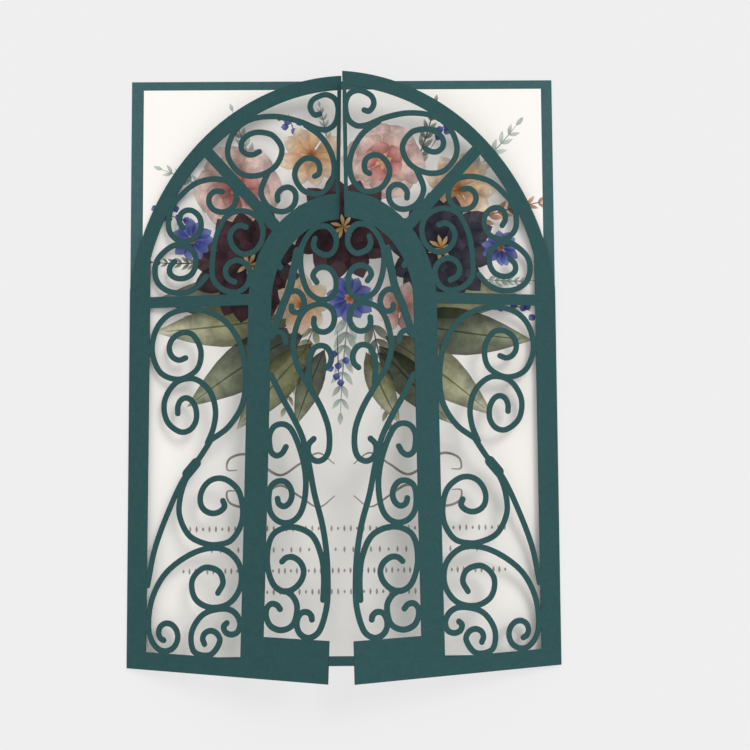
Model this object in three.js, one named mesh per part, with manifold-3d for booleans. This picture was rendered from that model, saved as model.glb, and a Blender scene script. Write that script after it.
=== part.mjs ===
// A laser-cut invitation jacket, standing ajar, with its flat invitation card lying inside.
// The jacket is one sheet: a back panel and two openwork leaves that fold in over it.
// It is cut flat as one pattern and then bent at its two folds, as the real sheet is.
// Millimetres, +Z up: X runs across the jacket, Y up it, and the panel lies on Z = 0.
import * as THREE from 'three';
import { mergeVertices } from 'three/addons/utils/BufferGeometryUtils.js';
import Module from 'manifold-3d';

const wasm = await Module();
wasm.setup();

// The sheet
const panelWidth = 134.5;      // over the outside of the two folds
const panelHeight = 184.5;
const shoulderWidth = 134.4;   // of the panel above the folds, where its edges are cut
const shoulderSlit = 0.2;      // cut that frees the leaf from the panel at the shoulder
const sheetThickness = 0.3;
const foldRadius = 0.35;       // at the middle of the sheet
const foldLength = 116.5;      // from the bottom edge up to the shoulder, where the arch starts

// How far each leaf stands open above the panel, in degrees, at its bottom and top edges
const leftAjar = { bottom: 20.5, top: 6.5 };
const rightAjar = { bottom: 21, top: 10.5 };

// The frame of one leaf, measured from the outside of the fold and from the bottom edge
const leafWidth = 67.8;
const leafHeight = 183.5;      // to the peak of the arch
const stileWidth = 6.9;        // beside the fold
const railHeight = 5.3;        // along the bottom
const barOffset = 39.35;       // to the near side of the middle bar
const barWidth = 7.4;
const crossbarWidth = 3.5;
const crossbarDrop = 1.5;      // its upper edge below the shoulder
const archBand = 4.6;
const archDrop = 12;           // centre of the big arch below the shoulder
const edgeBand = 1.2;          // along the free edge, under the arch
const doorBlockHeight = 12.1;
const doorArchDrop = 4.2;      // centre of the small arch below the shoulder
const doorArchRise = 25;
const doorArchBand = 8.2;

// Widths of the cut scrolls
const scrollWidth = 1.75;
const spearWidth = 2.4;
const collarWidth = 3.2;
const strutWidth = 3.6;

// The card inside
const cardWidth = 127;
const cardHeight = 178.5;
const cardThickness = 0.4;
const cardShift = { x: 0.2, y: 0.1 };   // from the middle of the panel, as it was slipped in

// Smoothness
const archSteps = 20;          // along a quarter of the big arch
const doorArchSteps = 12;
const foldSteps = 4;           // round a fold
const twistSteps = 4;          // up a leaf
const twistLeast = 14;         // shorter edges of a leaf stay whole
const scrollTurn = THREE.MathUtils.degToRad(32);   // most between points of a scroll
const scrollError = 0.18;      // most between a scroll's curve and its straight stretches
const finePerPoint = 12;       // fine steps walked between two drawn points
const endSteps = 3;            // round the end of a scroll
const cutMargin = 1;           // how far a cutting shape runs past what it cuts

// Scrolls are drawn as points on their centre-line, in hundredths of the window they fill:
// across from the fold's side, and up from the window's lower edge.
const sideScrolls = {
  footCurl: [
    [85.1, 9.6], [82, 8.6], [83.9, 7.1], [89.8, 6.5], [96.3, 7.3], [98.8, 9.4], [96.3, 11.5],
    [90.6, 13], [81.3, 13.5], [60.4, 11.6], [48.6, 6.2], [51.8, 1.1], [69.1, 0.6], [78.4, 4.7],
    [74.9, 6.6], [68.6, 7.2], [62.7, 6.4], [60.5, 4.9], [62.4, 3.4],
  ],
  tailCurl: [
    [75.3, 17.8], [80.2, 20.7], [76.1, 23.7], [60.6, 24.7], [48.4, 21.1], [51.3, 16.1], [66.3, 13.7],
    [86.6, 15], [98.2, 19.9], [96.3, 26], [80.4, 30], [55.2, 29.5], [20.7, 22.9], [5.5, 14.8],
    [2.9, 6.2], [7.4, 2.8], [15, 0.9], [23.3, 0.8], [30.6, 2.1], [34.1, 4.5], [32.5, 6.8],
    [27.1, 8.3], [20.7, 8.5], [15.4, 7.5], [13.5, 5.8], [15.4, 4.3], [19.2, 3.7],
  ],
  stem: [
    [65.7, 61.4], [54, 56.1], [36.9, 49.5], [21.6, 40.1], [8.1, 29.5], [0.8, 19],
  ],
  waistCurl: [
    [78.3, 43.7], [80.2, 42.2], [76.2, 40.8], [69.4, 40.1], [61.6, 40.6], [56.3, 42.2], [55, 44.7],
    [57.8, 47.2], [64, 49.2], [72.7, 50.1], [82, 49.6], [93.5, 46.8], [98.5, 41.8], [97.3, 37.2],
    [87.5, 32.6], [73.9, 31.3], [62.3, 31.4], [44.2, 33.7], [33.8, 39.3], [34.1, 44.3], [40, 49.8],
    [50.6, 53.7],
  ],
  shoulderCurl: [
    [65.7, 61.2], [82.1, 64.7], [95.6, 71], [98.6, 79.8], [92.1, 89], [78.2, 95.1], [62.7, 98],
    [47.3, 99.2], [31.8, 99.1], [18.2, 97.6], [8.3, 94.5], [3.3, 90.3], [3.3, 86], [12.6, 80.6],
    [31.8, 78.8], [49.5, 81.7], [52.9, 87], [44.8, 91.6], [37.1, 92.5], [29.4, 92], [23.2, 90.5],
    [20.4, 88.3], [21.9, 86.2], [25.9, 84.9], [31.2, 84.4], [37.4, 85],
  ],
  chestCurl: [
    [61.4, 60.2], [67.3, 64.7], [68.8, 69.9], [62.5, 75.2], [46.7, 78.8], [28.1, 77.8], [16.3, 72.4],
    [19.4, 66.5], [33.7, 63.4], [43.1, 64], [49, 66.5], [48.9, 70], [44.3, 72.5], [38.7, 73.3],
    [33.4, 72.7], [30.3, 70.9], [30.3, 68.8],
  ],
  collar: [
    [41, 51.3], [50, 54.4],
  ],
};
const topScrolls = {
  outerCurl: [
    [25.7, 31.6], [24.1, 34.6], [24.8, 38], [27.3, 39.6], [30.4, 39.3], [33.7, 36.3], [34.6, 32],
    [32.5, 27.4], [25.4, 25.1], [19.5, 29.8], [19.2, 38.4], [22.5, 45.1],
  ],
  hoodCurl: [
    [21.5, 43.8], [30.2, 51.3], [36.2, 53.4], [42.1, 53.7], [47.3, 52.1], [50.7, 48.2], [51.3, 43.7],
    [49.2, 39.8], [45.1, 38.2], [40.8, 39.3], [38.3, 42.6], [38.6, 45.9], [41.1, 48], [44.5, 47.7],
  ],
  cornerCurl: [
    [22, 16.1], [19.8, 13.7], [19.8, 10.7], [22.5, 8.5], [26.4, 8.1], [30.1, 9.7], [32.2, 13.5],
    [32.1, 18.1], [29.8, 21.6], [25.7, 23.6], [21.3, 23.5], [13.7, 17.4], [12.4, 11.6], [13.9, 6.5],
    [18, 3], [23.5, 1.5], [29, 1.9], [33.8, 4.6], [37.7, 8.6],
  ],
  doubleCurl: [
    [56.3, 30.7], [53.2, 31.6], [50.1, 29.9], [48.7, 26.3], [50.5, 21.5], [54.9, 18.3], [59.5, 19],
    [63.2, 22.6], [64.4, 28.2], [62.5, 33.9], [58, 37.4], [52.7, 38.3], [47.3, 36.5], [42.4, 28],
    [40.5, 16.3], [40.9, 7.7], [43.7, 3.8], [47.9, 1.5], [52.6, 1], [56.6, 3.2], [58.3, 6.9],
    [58.3, 10.8], [56.1, 14], [52.3, 15.6], [48.7, 14.4], [46.8, 11.3], [48, 7.5], [51.4, 5.6],
  ],
  crownCurl: [
    [61.9, 65.7], [58.9, 64.4], [55.7, 64.9], [53.5, 67.3], [53.5, 70.5], [56.2, 73.5], [59.9, 74.8],
    [64.3, 74.5], [68.3, 72.9], [72.6, 66.4], [70, 58.9], [62.6, 54.7], [53.8, 55.5], [47.6, 62.6],
    [47, 68.6], [50.5, 76.4], [57.3, 81], [69.1, 82], [80.5, 79.2], [89.8, 75.1], [93.8, 74.8],
    [97, 76.9], [98.5, 80.8], [98.5, 85.9], [96.6, 89.6], [93, 91.3], [89.5, 90.6], [86.6, 88.8],
    [85.6, 86.1], [86.4, 83.4], [88.2, 81.8], [90.1, 82.2],
  ],
  edgeCurl: [
    [83.6, 77.2], [90.2, 72.1], [95.1, 64.9], [97.3, 56.5], [95.5, 48.8], [90.3, 44.7], [83, 46.6],
    [79, 52.9], [79.2, 56.6], [81.1, 59.8], [84.1, 61.6], [87.1, 61.3], [89.6, 59.5], [90.5, 56.5],
    [89.9, 53.9], [88.2, 53],
  ],
  heartCurl: [
    [66.2, 55.6], [63.1, 47.6], [64.1, 43.3], [66.9, 39.6], [70.9, 37.5], [75, 37.4], [78.3, 39.6],
    [79.5, 42.9], [78.9, 46.3], [76.2, 48.4], [73, 47.8], [70.9, 45.4], [71, 42.5],
  ],
  strut: [
    [32.1, 72], [71.4, 29.3],
  ],
};
const doorScrolls = {
  headCurl: [
    [64.1, 95.4], [62.1, 94], [65.5, 92.5], [74.5, 91.5], [84.9, 91.2], [93.1, 92.3], [96.4, 94.4],
    [92.7, 96.5], [83.2, 98.2], [69.8, 98.4], [58.4, 97.3], [45, 93.5], [43.5, 88.2], [53.5, 82.7],
    [63.9, 80.9], [75.3, 80.1], [86.7, 80.4], [94.3, 81.7], [97.2, 84], [93.9, 86.2], [85.4, 87.8],
    [74.9, 88.2], [65.9, 87.5], [62.1, 86.1], [67.8, 84.5],
  ],
  breastCurl: [
    [64.9, 75.6], [64.9, 74], [70.5, 72.6], [81.4, 72.2], [91.4, 73.2], [95.2, 75.3], [91.9, 77.5],
    [81, 78.9], [66.8, 79], [52.5, 77.9], [42.1, 75.4], [34.5, 69.3], [41.7, 64], [61.6, 58.6],
    [79.6, 53.5], [90.5, 48.5], [91, 43.7], [85.4, 41.9], [76, 41.2], [67, 41.7], [60.9, 43.1],
    [61.3, 45.2], [68.4, 46.5],
  ],
  hook: [
    [83.8, 63.4], [89.9, 64.4], [91.8, 66], [88.5, 67.6], [82.8, 68.6], [74.8, 68.9], [66.8, 68.4],
    [61.1, 66.6], [58.7, 64.3], [60.7, 59.4],
  ],
  spear: [
    [37.9, 92.5], [32.6, 87.6], [26.9, 83.1], [17.4, 79.1], [9.8, 75.5], [2.2, 71.6],
  ],
  bud: [
    [30.2, 78.8], [31.2, 77.7], [36.4, 77.2], [44.9, 77.4], [49.7, 79.3], [45.9, 81.4], [37.3, 82.5],
    [24, 82.1],
  ],
  sprig: [
    [0.3, 71.8], [10.8, 72.6], [19.3, 71.9], [23.6, 69.8],
  ],
  nib: [
    [7.9, 90], [13.1, 88.5],
  ],
  vine: [
    [1.9, 61.9], [19, 56.6], [37.1, 51.5], [51.4, 46.8], [61.9, 40.6], [71.5, 33.5], [83.8, 26.8],
    [91, 20.8], [94.5, 14.8], [94.3, 7.7], [84.7, 2.2], [76.8, 0.9], [67.9, 0.4], [57.1, 1],
    [50.9, 2.6], [51.3, 4.6], [57.3, 6], [65.8, 6.2], [71.9, 5.4], [72.9, 4.6],
  ],
  leafCurl: [
    [26.8, 44.6], [21.2, 43.1], [13.2, 42.5], [5.1, 43.3], [1.7, 45.3], [1.7, 47.6], [8.3, 49.5],
    [19.6, 50.1], [31.5, 49.3], [48.6, 43.8], [58.2, 36.3], [53.2, 29.7], [42.9, 27.4], [29.2, 26.6],
    [16, 27.2], [5.9, 29], [2.5, 32], [5.3, 35.1], [15.2, 36.4], [27.1, 36.3], [35.6, 34.7],
    [37.5, 32.9], [33.3, 31.2], [25.8, 30.5], [18.2, 31.1], [15.8, 32.3],
  ],
  rootCurl: [
    [88.6, 9.2], [88.9, 14.1], [84.5, 19], [68.4, 24], [36.3, 25.7], [9.9, 23.7], [2.5, 17.5],
    [14.1, 12], [30.3, 10.7], [44.9, 11.5], [55.6, 13.5], [58.4, 15.7], [52.7, 17.6], [41.3, 18.7],
    [31.4, 18.5], [25.3, 17.6],
  ],
  footHook: [
    [32.2, 10.8], [42.1, 9.8], [49.3, 7.9], [49.4, 5.5], [44.8, 3.3], [36.3, 2.2], [23.1, 1.8],
    [9.8, 2.7], [3.5, 4.6], [3.9, 6.6], [10.5, 7.7], [19.1, 7.5], [24.3, 6.6],
  ],
};

const paperColour = '#335456';
const cardColour = '#fbf7f1';

const jacketMaterial = new THREE.MeshStandardMaterial({ color: paperColour, roughness: 0.75 });
const cardMaterial = new THREE.MeshStandardMaterial({ color: cardColour, roughness: 0.85 });

// Places that follow from the sizes above
const outerFoldRadius = foldRadius + sheetThickness / 2;
const foldStart = panelWidth / 2 - outerFoldRadius;      // where the flat panel ends
const leafStart = foldStart + Math.PI * foldRadius - outerFoldRadius;   // fold's outside, flat
const barEnd = barOffset + barWidth;
const crossbarTop = foldLength - crossbarDrop;
const crossbarBottom = crossbarTop - crossbarWidth;
const arch = ellipse(foldLength - archDrop, leafWidth, leafHeight);
const doorArch = {
  height: foldLength - doorArchDrop,
  across: leafWidth - barEnd,
  rise: doorArchRise,
};
const doorArchOuter = {
  height: doorArch.height,
  across: leafWidth - barOffset,
  rise: doorArchRise + doorArchBand,
};
const archInner = { height: arch.height, across: arch.across - archBand, rise: arch.rise - archBand };

// The big arch springs from the fold at the shoulder and peaks at the free edge.
function ellipse(height, reach, peak) {
  const rise = peak - height;
  const spring = (foldLength - height) / rise;
  return { height, across: reach / Math.sqrt(1 - spring * spring), rise };
}

// Points of an arch from its peak, at the free edge, down to the given height on the fold's side
function archPoints({ height, across, rise }, lowest, steps) {
  const endAngle = Math.asin((lowest - height) / rise);
  const points = [];
  for (let i = 0; i <= steps; i += 1) {
    const angle = THREE.MathUtils.lerp(Math.PI / 2, endAngle, i / steps);
    points.push([leafWidth - across * Math.cos(angle), height + rise * Math.sin(angle)]);
  }
  return points;
}

// A closed body from a geometry
function solid(geometry) {
  geometry.deleteAttribute('normal');
  geometry.deleteAttribute('uv');
  const merged = mergeVertices(geometry);
  return new wasm.Manifold(new wasm.Mesh({
    numProp: 3,
    vertProperties: new Float32Array(merged.attributes.position.array),
    triVerts: new Uint32Array(merged.index.array),
  }));
}

// Outline points stood up as a plate between two levels
function plate(points, bottom, top) {
  const shape = new THREE.Shape(points.map(([x, y]) => new THREE.Vector2(x, y)));
  const geometry = new THREE.ExtrudeGeometry(shape, { depth: top - bottom, bevelEnabled: false });
  return solid(geometry.translate(0, 0, bottom));
}

function rectangle(left, right, bottom, top) {
  return [[left, bottom], [right, bottom], [right, top], [left, top]];
}

// The outline of a stroke: its centre-line moved to both sides, with round ends
function strokeOutline(points, width) {
  const centre = new THREE.CatmullRomCurve3(
    points.map(([x, y]) => new THREE.Vector3(x, y, 0)), false, 'centripetal');
  const fineSteps = finePerPoint * points.length;
  const nearSide = [];
  const farSide = [];
  let last = null;
  for (let i = 0; i <= fineSteps; i += 1) {
    const at = centre.getPoint(i / fineSteps);
    const along = centre.getTangent(i / fineSteps);
    const turned = last === null ? Infinity : along.angleTo(last.along);
    const error = last === null ? Infinity : at.distanceTo(last.at) * turned / 8;   // of an arc
    if (turned >= scrollTurn || error >= scrollError || i === fineSteps) {
      const offset = new THREE.Vector2(-along.y, along.x).multiplyScalar(width / 2);
      nearSide.push([at.x - offset.x, at.y - offset.y]);
      farSide.unshift([at.x + offset.x, at.y + offset.y]);
      last = { at, along };
    }
  }
  const endCap = roundEnd(nearSide.at(-1), farSide[0]);
  const startCap = roundEnd(farSide.at(-1), nearSide[0]);
  return [...nearSide, ...endCap, ...farSide, ...startCap];
}

// Points of the half circle that closes a stroke, turning left from one side to the other
function roundEnd([fromX, fromY], [toX, toY]) {
  const middle = new THREE.Vector2((fromX + toX) / 2, (fromY + toY) / 2);
  const arm = new THREE.Vector2(fromX, fromY).sub(middle);
  const points = [];
  for (let i = 1; i < endSteps; i += 1) {
    const turned = arm.clone().rotateAround(new THREE.Vector2(), Math.PI * i / endSteps).add(middle);
    points.push([turned.x, turned.y]);
  }
  return points;
}

// A scroll's points set into a window of the leaf
function placed(points, { left, right, bottom, top }) {
  return points.map(([across, up]) => [
    THREE.MathUtils.lerp(left, right, across / 100),
    THREE.MathUtils.lerp(bottom, top, up / 100),
  ]);
}

const sideWindow = { left: stileWidth, right: barOffset, bottom: railHeight, top: crossbarBottom };
const topWindow = { left: 0, right: leafWidth, bottom: crossbarTop, top: leafHeight };
const doorWindow = {
  left: barEnd,
  right: leafWidth,
  bottom: doorBlockHeight,
  top: doorArch.height + doorArch.rise,
};
const specialWidths = { spear: spearWidth, collar: collarWidth, strut: strutWidth };

// One leaf as cut flat. side is 1 for the right leaf and -1 for the left.
function leafPattern(side) {
  const flat = (points) => points.map(([u, v]) => [side * (leafStart + u), v]);
  const sheet = (points) => plate(flat(points), 0, sheetThickness);
  const cutter = (points) => plate(flat(points), -cutMargin, sheetThickness + cutMargin);
  const lap = foldStart - leafStart - cutMargin;

  const outline = [
    [lap, 0], [leafWidth, 0], ...archPoints(arch, foldLength, archSteps), [lap, foldLength],
  ];
  const sideOpening = cutter(
    rectangle(sideWindow.left, sideWindow.right, sideWindow.bottom, sideWindow.top));
  const doorOpening = cutter([
    [barEnd, doorBlockHeight], [leafWidth + cutMargin, doorBlockHeight],
    [leafWidth + cutMargin, doorWindow.top],
    ...archPoints(doorArch, doorArch.height, doorArchSteps),
  ]);
  const doorHood = cutter([
    [leafWidth + cutMargin, doorArch.height],
    [leafWidth + cutMargin, doorArchOuter.height + doorArchOuter.rise],
    ...archPoints(doorArchOuter, doorArchOuter.height, doorArchSteps),
  ]);
  const underArch = cutter([
    [leafWidth, crossbarTop], ...archPoints(archInner, crossbarTop, archSteps),
  ]);
  const insideFrame = cutter(
    rectangle(stileWidth, leafWidth - edgeBand, crossbarTop, leafHeight));
  const topOpening = underArch.intersect(insideFrame).subtract(doorHood);

  let leaf = sheet(outline).subtract(sideOpening).subtract(doorOpening).subtract(topOpening);
  const blank = cutter(outline);
  for (const [scrolls, window] of [
    [sideScrolls, sideWindow], [topScrolls, topWindow], [doorScrolls, doorWindow],
  ]) {
    for (const [name, points] of Object.entries(scrolls)) {
      const width = specialWidths[name] ?? scrollWidth;
      const stroke = sheet(strokeOutline(placed(points, window), width));
      leaf = leaf.add(stroke.intersect(blank));
    }
  }
  return leaf;
}

// The triangles of a body, as growing lists
function trianglesOf(body) {
  const mesh = body.getMesh();
  const points = [];
  for (let i = 0; i < mesh.vertProperties.length; i += mesh.numProp) {
    points.push([...mesh.vertProperties.slice(i, i + 3)]);
  }
  const triangles = [];
  for (let i = 0; i < mesh.triVerts.length; i += 3) {
    triangles.push([...mesh.triVerts.slice(i, i + 3)]);
  }
  return { points, triangles };
}

// Puts a new point on each edge that crosses the line x = value (axis 0) or y = value (axis 1) and
// is longer than shortest, and cuts the triangles there. Both triangles at an edge share its point.
function creased({ points, triangles }, axis, value, shortest = 0) {
  const onLine = 1e-6;
  const newPoints = new Map();
  const crossing = (a, b) => {
    const fromA = points[a][axis] - value;
    const fromB = points[b][axis] - value;
    const apart = Math.hypot(...points[a].map((start, k) => points[b][k] - start));
    const crosses = fromA * fromB < 0 && Math.min(Math.abs(fromA), Math.abs(fromB)) > onLine;
    if (!crosses || apart <= shortest) return null;
    const key = a < b ? `${a},${b}` : `${b},${a}`;
    if (!newPoints.has(key)) {
      const share = fromA / (fromA - fromB);
      points.push(points[a].map((start, k) => start + share * (points[b][k] - start)));
      newPoints.set(key, points.length - 1);
    }
    return newPoints.get(key);
  };
  const result = [];
  for (const triangle of triangles) {
    const cuts = triangle.map((corner, k) => crossing(corner, triangle[(k + 1) % 3]));
    const cutEdges = cuts.filter((cut) => cut !== null).length;
    if (cutEdges === 0) {
      result.push(triangle);
      continue;
    }
    // Turned so that the cut edges are the first one, or the first and the last
    const first = cuts.findIndex((cut, k) => cut !== null
      && (cutEdges === 1 || cuts[(k + 2) % 3] !== null));
    const [a, b, c] = [0, 1, 2].map((k) => triangle[(first + k) % 3]);
    const d = cuts[first];
    const e = cuts[(first + 2) % 3];
    if (cutEdges === 1) {
      result.push([a, d, c], [d, b, c]);
    } else {
      result.push([a, d, e], [d, b, c], [d, c, e]);
    }
  }
  return { points, triangles: result };
}

// Takes a point of the flat pattern to its place on the folded sheet. Within the fold the sheet
// is an arc, and past it the leaf runs straight back over the panel at its opening angle. The
// panel's own edges above the shoulder stay flat.
function folded([x, y, depth]) {
  const beyond = Math.abs(x) - foldStart;
  const onShoulder = y > foldLength && Math.abs(x) < leafStart;
  if (beyond <= 0 || onShoulder) return [x, y, depth];
  const side = Math.sign(x);
  const ajar = side < 0 ? leftAjar : rightAjar;
  const opening = THREE.MathUtils.lerp(ajar.bottom, ajar.top, y / leafHeight);
  const turn = Math.min(beyond / foldRadius, Math.PI - THREE.MathUtils.degToRad(opening));
  const radius = outerFoldRadius - depth;
  const straight = beyond - turn * foldRadius;
  const across = foldStart + radius * Math.sin(turn) + straight * Math.cos(turn);
  const height = outerFoldRadius - radius * Math.cos(turn) + straight * Math.sin(turn);
  return [side * across, y, height];
}

function jacketGeometry() {
  const panel = plate(rectangle(-foldStart, foldStart, 0, panelHeight), 0, sheetThickness);
  const shoulders = plate(
    rectangle(-shoulderWidth / 2, shoulderWidth / 2, foldLength + shoulderSlit, panelHeight),
    0, sheetThickness);
  const leaves = leafPattern(1).add(leafPattern(-1));
  const pattern = panel.add(shoulders).add(leaves).asOriginal().simplify();
  let sheet = trianglesOf(pattern);
  for (let i = 0; i <= foldSteps; i += 1) {
    const crease = foldStart + foldRadius * Math.PI * i / foldSteps;
    sheet = creased(creased(sheet, 0, crease), 0, -crease);
  }
  for (let i = 1; i < twistSteps; i += 1) {
    sheet = creased(sheet, 1, leafHeight * i / twistSteps, twistLeast);
  }
  const geometry = new THREE.BufferGeometry();
  const positions = sheet.points.map(folded).flat();
  geometry.setAttribute('position', new THREE.Float32BufferAttribute(positions, 3));
  geometry.setIndex(sheet.triangles.flat());
  return geometry;
}

function namedMesh(name, geometry, material) {
  const mesh = new THREE.Mesh(geometry, material);
  mesh.name = name;
  return mesh;
}

const jacket = namedMesh('jacket', jacketGeometry(), jacketMaterial);
jacket.position.y = -panelHeight / 2;

const card = namedMesh(
  'invitation_card', new THREE.BoxGeometry(cardWidth, cardHeight, cardThickness), cardMaterial);
card.position.set(cardShift.x, cardShift.y, sheetThickness + cardThickness / 2);

const invitation = new THREE.Group();
invitation.add(jacket, card);
export default invitation;
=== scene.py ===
# A laser cut invitation jacket standing ajar on a pale table, with its printed card inside.
# Shapes are worked out in millimetres and put into the meshes in metres.
import math

import bpy
import numpy as np
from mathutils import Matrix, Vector
from mathutils.geometry import delaunay_2d_cdt


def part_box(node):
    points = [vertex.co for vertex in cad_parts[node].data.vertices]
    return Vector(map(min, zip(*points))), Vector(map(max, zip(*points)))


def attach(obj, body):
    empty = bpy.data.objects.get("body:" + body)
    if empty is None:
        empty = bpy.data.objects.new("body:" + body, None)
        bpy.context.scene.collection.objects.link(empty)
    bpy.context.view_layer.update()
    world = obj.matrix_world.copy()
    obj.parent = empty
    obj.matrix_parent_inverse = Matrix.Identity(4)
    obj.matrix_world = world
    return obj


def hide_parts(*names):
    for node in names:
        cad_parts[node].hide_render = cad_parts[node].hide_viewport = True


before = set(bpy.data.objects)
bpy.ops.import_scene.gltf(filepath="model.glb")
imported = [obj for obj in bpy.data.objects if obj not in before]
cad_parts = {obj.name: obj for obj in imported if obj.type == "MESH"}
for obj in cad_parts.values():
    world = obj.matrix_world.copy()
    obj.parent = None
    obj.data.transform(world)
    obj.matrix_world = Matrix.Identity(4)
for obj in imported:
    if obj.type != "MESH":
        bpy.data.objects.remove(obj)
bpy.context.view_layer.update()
metre = 0.001    # one millimetre in metres
tiny = 1e-6      # mm, nearer than this to a line is on it
creaseAngle = math.radians(40)    # a mesh edge that bends more than this looks sharp


def linear(hexColour):
    # sRGB hex to linear light: (v / 12.92) in the darkest part, ((v + 0.055) / 1.055) ^ 2.4 above it
    code = hexColour.lstrip("#")
    shown = np.array([int(code[i:i + 2], 16) / 255 for i in (0, 2, 4)])
    return np.where(shown <= 0.04045, shown / 12.92, ((shown + 0.055) / 1.055) ** 2.4)


def rgba(hexColour):
    return (*linear(hexColour), 1.0)


def addNode(tree, kind, inputs=None, **settings):
    # Inputs are values or sockets to link from, and settings are the node's own properties
    node = tree.nodes.new(kind)
    for name, value in settings.items():
        setattr(node, name, value)
    for socket, value in (inputs or {}).items():
        if isinstance(value, bpy.types.NodeSocket):
            tree.links.new(value, node.inputs[socket])
        else:
            node.inputs[socket].default_value = value
    return node


def newMaterial(name):
    material = bpy.data.materials.new(name)
    material.use_nodes = True
    tree = material.node_tree
    tree.nodes.clear()
    return material, tree


# Flat shapes

def splineThrough(points, perSpan):
    # Centripetal Catmull-Rom curve: in each span a cubic through its two ends, with slopes from
    # the neighbours weighted by the square roots of the distances. Returns places and directions.
    ends = np.vstack([2 * points[0] - points[1], points, 2 * points[-1] - points[-2]])
    step = np.sqrt(np.linalg.norm(np.diff(ends, axis=0), axis=1))[:, None]
    before, here, after, beyond = ends[:-3], ends[1:-2], ends[2:-1], ends[3:]
    gapIn, gap, gapOut = step[:-2], step[1:-1], step[2:]
    leave = (here - before) / gapIn - (after - before) / (gapIn + gap) + (after - here) / gap
    arrive = (after - here) / gap - (beyond - here) / (gap + gapOut) + (beyond - after) / gapOut
    leave, arrive = leave * gap, arrive * gap
    t = np.linspace(0, 1, perSpan, endpoint=False)[None, :, None]
    start, end, leave, arrive = here[:, None], after[:, None], leave[:, None], arrive[:, None]
    bow = 3 * (end - start) - 2 * leave - arrive
    twist = 2 * (start - end) + leave + arrive
    places = (start + leave * t + bow * t ** 2 + twist * t ** 3).reshape(-1, 2)
    slopes = (leave + 2 * bow * t + 3 * twist * t ** 2).reshape(-1, 2)
    places = np.vstack([places, points[-1]])
    slopes = np.vstack([slopes, arrive[-1, 0]])
    return places, slopes / np.linalg.norm(slopes, axis=1)[:, None]


def strokeOutline(points, width, perSpan, endSteps=8):
    # Each side is the centre line moved half a width along its normal, and each end a half circle
    places, along = splineThrough(np.asarray(points, float), perSpan)
    width = np.broadcast_to(width, (len(places),))
    normal = np.stack([-along[:, 1], along[:, 0]], 1)
    arm = normal * width[:, None] / 2
    turn = np.linspace(0, math.pi, endSteps + 1)[1:-1, None]
    farEnd = places[-1] - arm[-1] * np.cos(turn) + along[-1] * width[-1] / 2 * np.sin(turn)
    nearEnd = places[0] + arm[0] * np.cos(turn) - along[0] * width[0] / 2 * np.sin(turn)
    return np.vstack([places - arm, farEnd, (places + arm)[::-1], nearEnd])


def rectangle(left, right, bottom, top):
    return np.array([[left, bottom], [right, bottom], [right, top], [left, top]], float)


def fillPlane(outlines, loosePoints, lines=()):
    # Triangles over the plane with every outline and line as their edges and every loose point as
    # a corner. Also says, for each triangle, which outlines it lies in.
    corners = np.concatenate([*outlines, *lines, loosePoints])
    starts = np.cumsum([0, *map(len, outlines)])
    faces = [list(range(a, b)) for a, b in zip(starts, starts[1:])]
    edges = [(starts[-1] + 2 * i, starts[-1] + 2 * i + 1) for i in range(len(lines))]
    closest = 1e-4    # mm, nearer points become one
    wholePlane = 0    # the kind of result that keeps every triangle
    points, _, triangles, _, _, owners = delaunay_2d_cdt(
        list(map(Vector, corners.tolist())), edges, faces, wholePlane, closest, True)
    inside = np.zeros((len(triangles), len(outlines)), bool)
    rows = np.repeat(np.arange(len(owners)), [len(own) for own in owners])
    inside[rows, np.concatenate([own for own in owners if own]).astype(int)] = True
    return np.array([tuple(p) for p in points]), np.array(triangles), inside


def rimEdges(triangles):
    # The edges that only one triangle has
    edges = np.concatenate([triangles[:, [0, 1]], triangles[:, [1, 2]], triangles[:, [2, 0]]])
    key = edges.min(1).astype(np.int64) * (edges.max() + 1) + edges.max(1)
    _, first, times = np.unique(key, return_index=True, return_counts=True)
    return edges[first[times == 1]]


def thickSheet(points, triangles, thickness):
    # The triangles at depth 0 and again at the sheet's thickness, joined by a wall along each rim
    # edge. Returns corners, faces and how many of the faces come before the walls.
    used, triangles = np.unique(triangles, return_inverse=True)
    points, triangles = points[used], triangles.reshape(-1, 3)
    rim = rimEdges(triangles)
    count = len(points)
    corners = np.vstack([
        np.column_stack([points, np.full(count, depth)]) for depth in (0, thickness)])
    walls = np.concatenate([
        np.column_stack([rim[:, 0], rim[:, 1], rim[:, 1] + count]),
        np.column_stack([rim[:, 0], rim[:, 1] + count, rim[:, 0] + count])])
    faces = np.concatenate([triangles[:, ::-1], triangles + count, walls])
    return corners, faces, 2 * len(triangles)


def meshPiece(name, corners, faces, material):
    mesh = bpy.data.meshes.new(name)
    mesh.vertices.add(len(corners))
    mesh.vertices.foreach_set("co", (corners * metre).astype(np.float32).ravel())
    mesh.loops.add(faces.size)
    mesh.loops.foreach_set("vertex_index", faces.astype(np.int32).ravel())
    mesh.polygons.add(len(faces))
    mesh.polygons.foreach_set("loop_start", np.arange(0, faces.size, 3, dtype=np.int32))
    mesh.polygons.foreach_set("use_smooth", np.ones(len(faces), bool))
    mesh.update(calc_edges=True)
    mesh.set_sharp_from_angle(angle=creaseAngle)
    mesh.materials.append(material)
    piece = bpy.data.objects.new(name, mesh)
    bpy.context.scene.collection.objects.link(piece)
    return piece


# Jacket: one sheet of card stock, cut flat and folded

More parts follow.
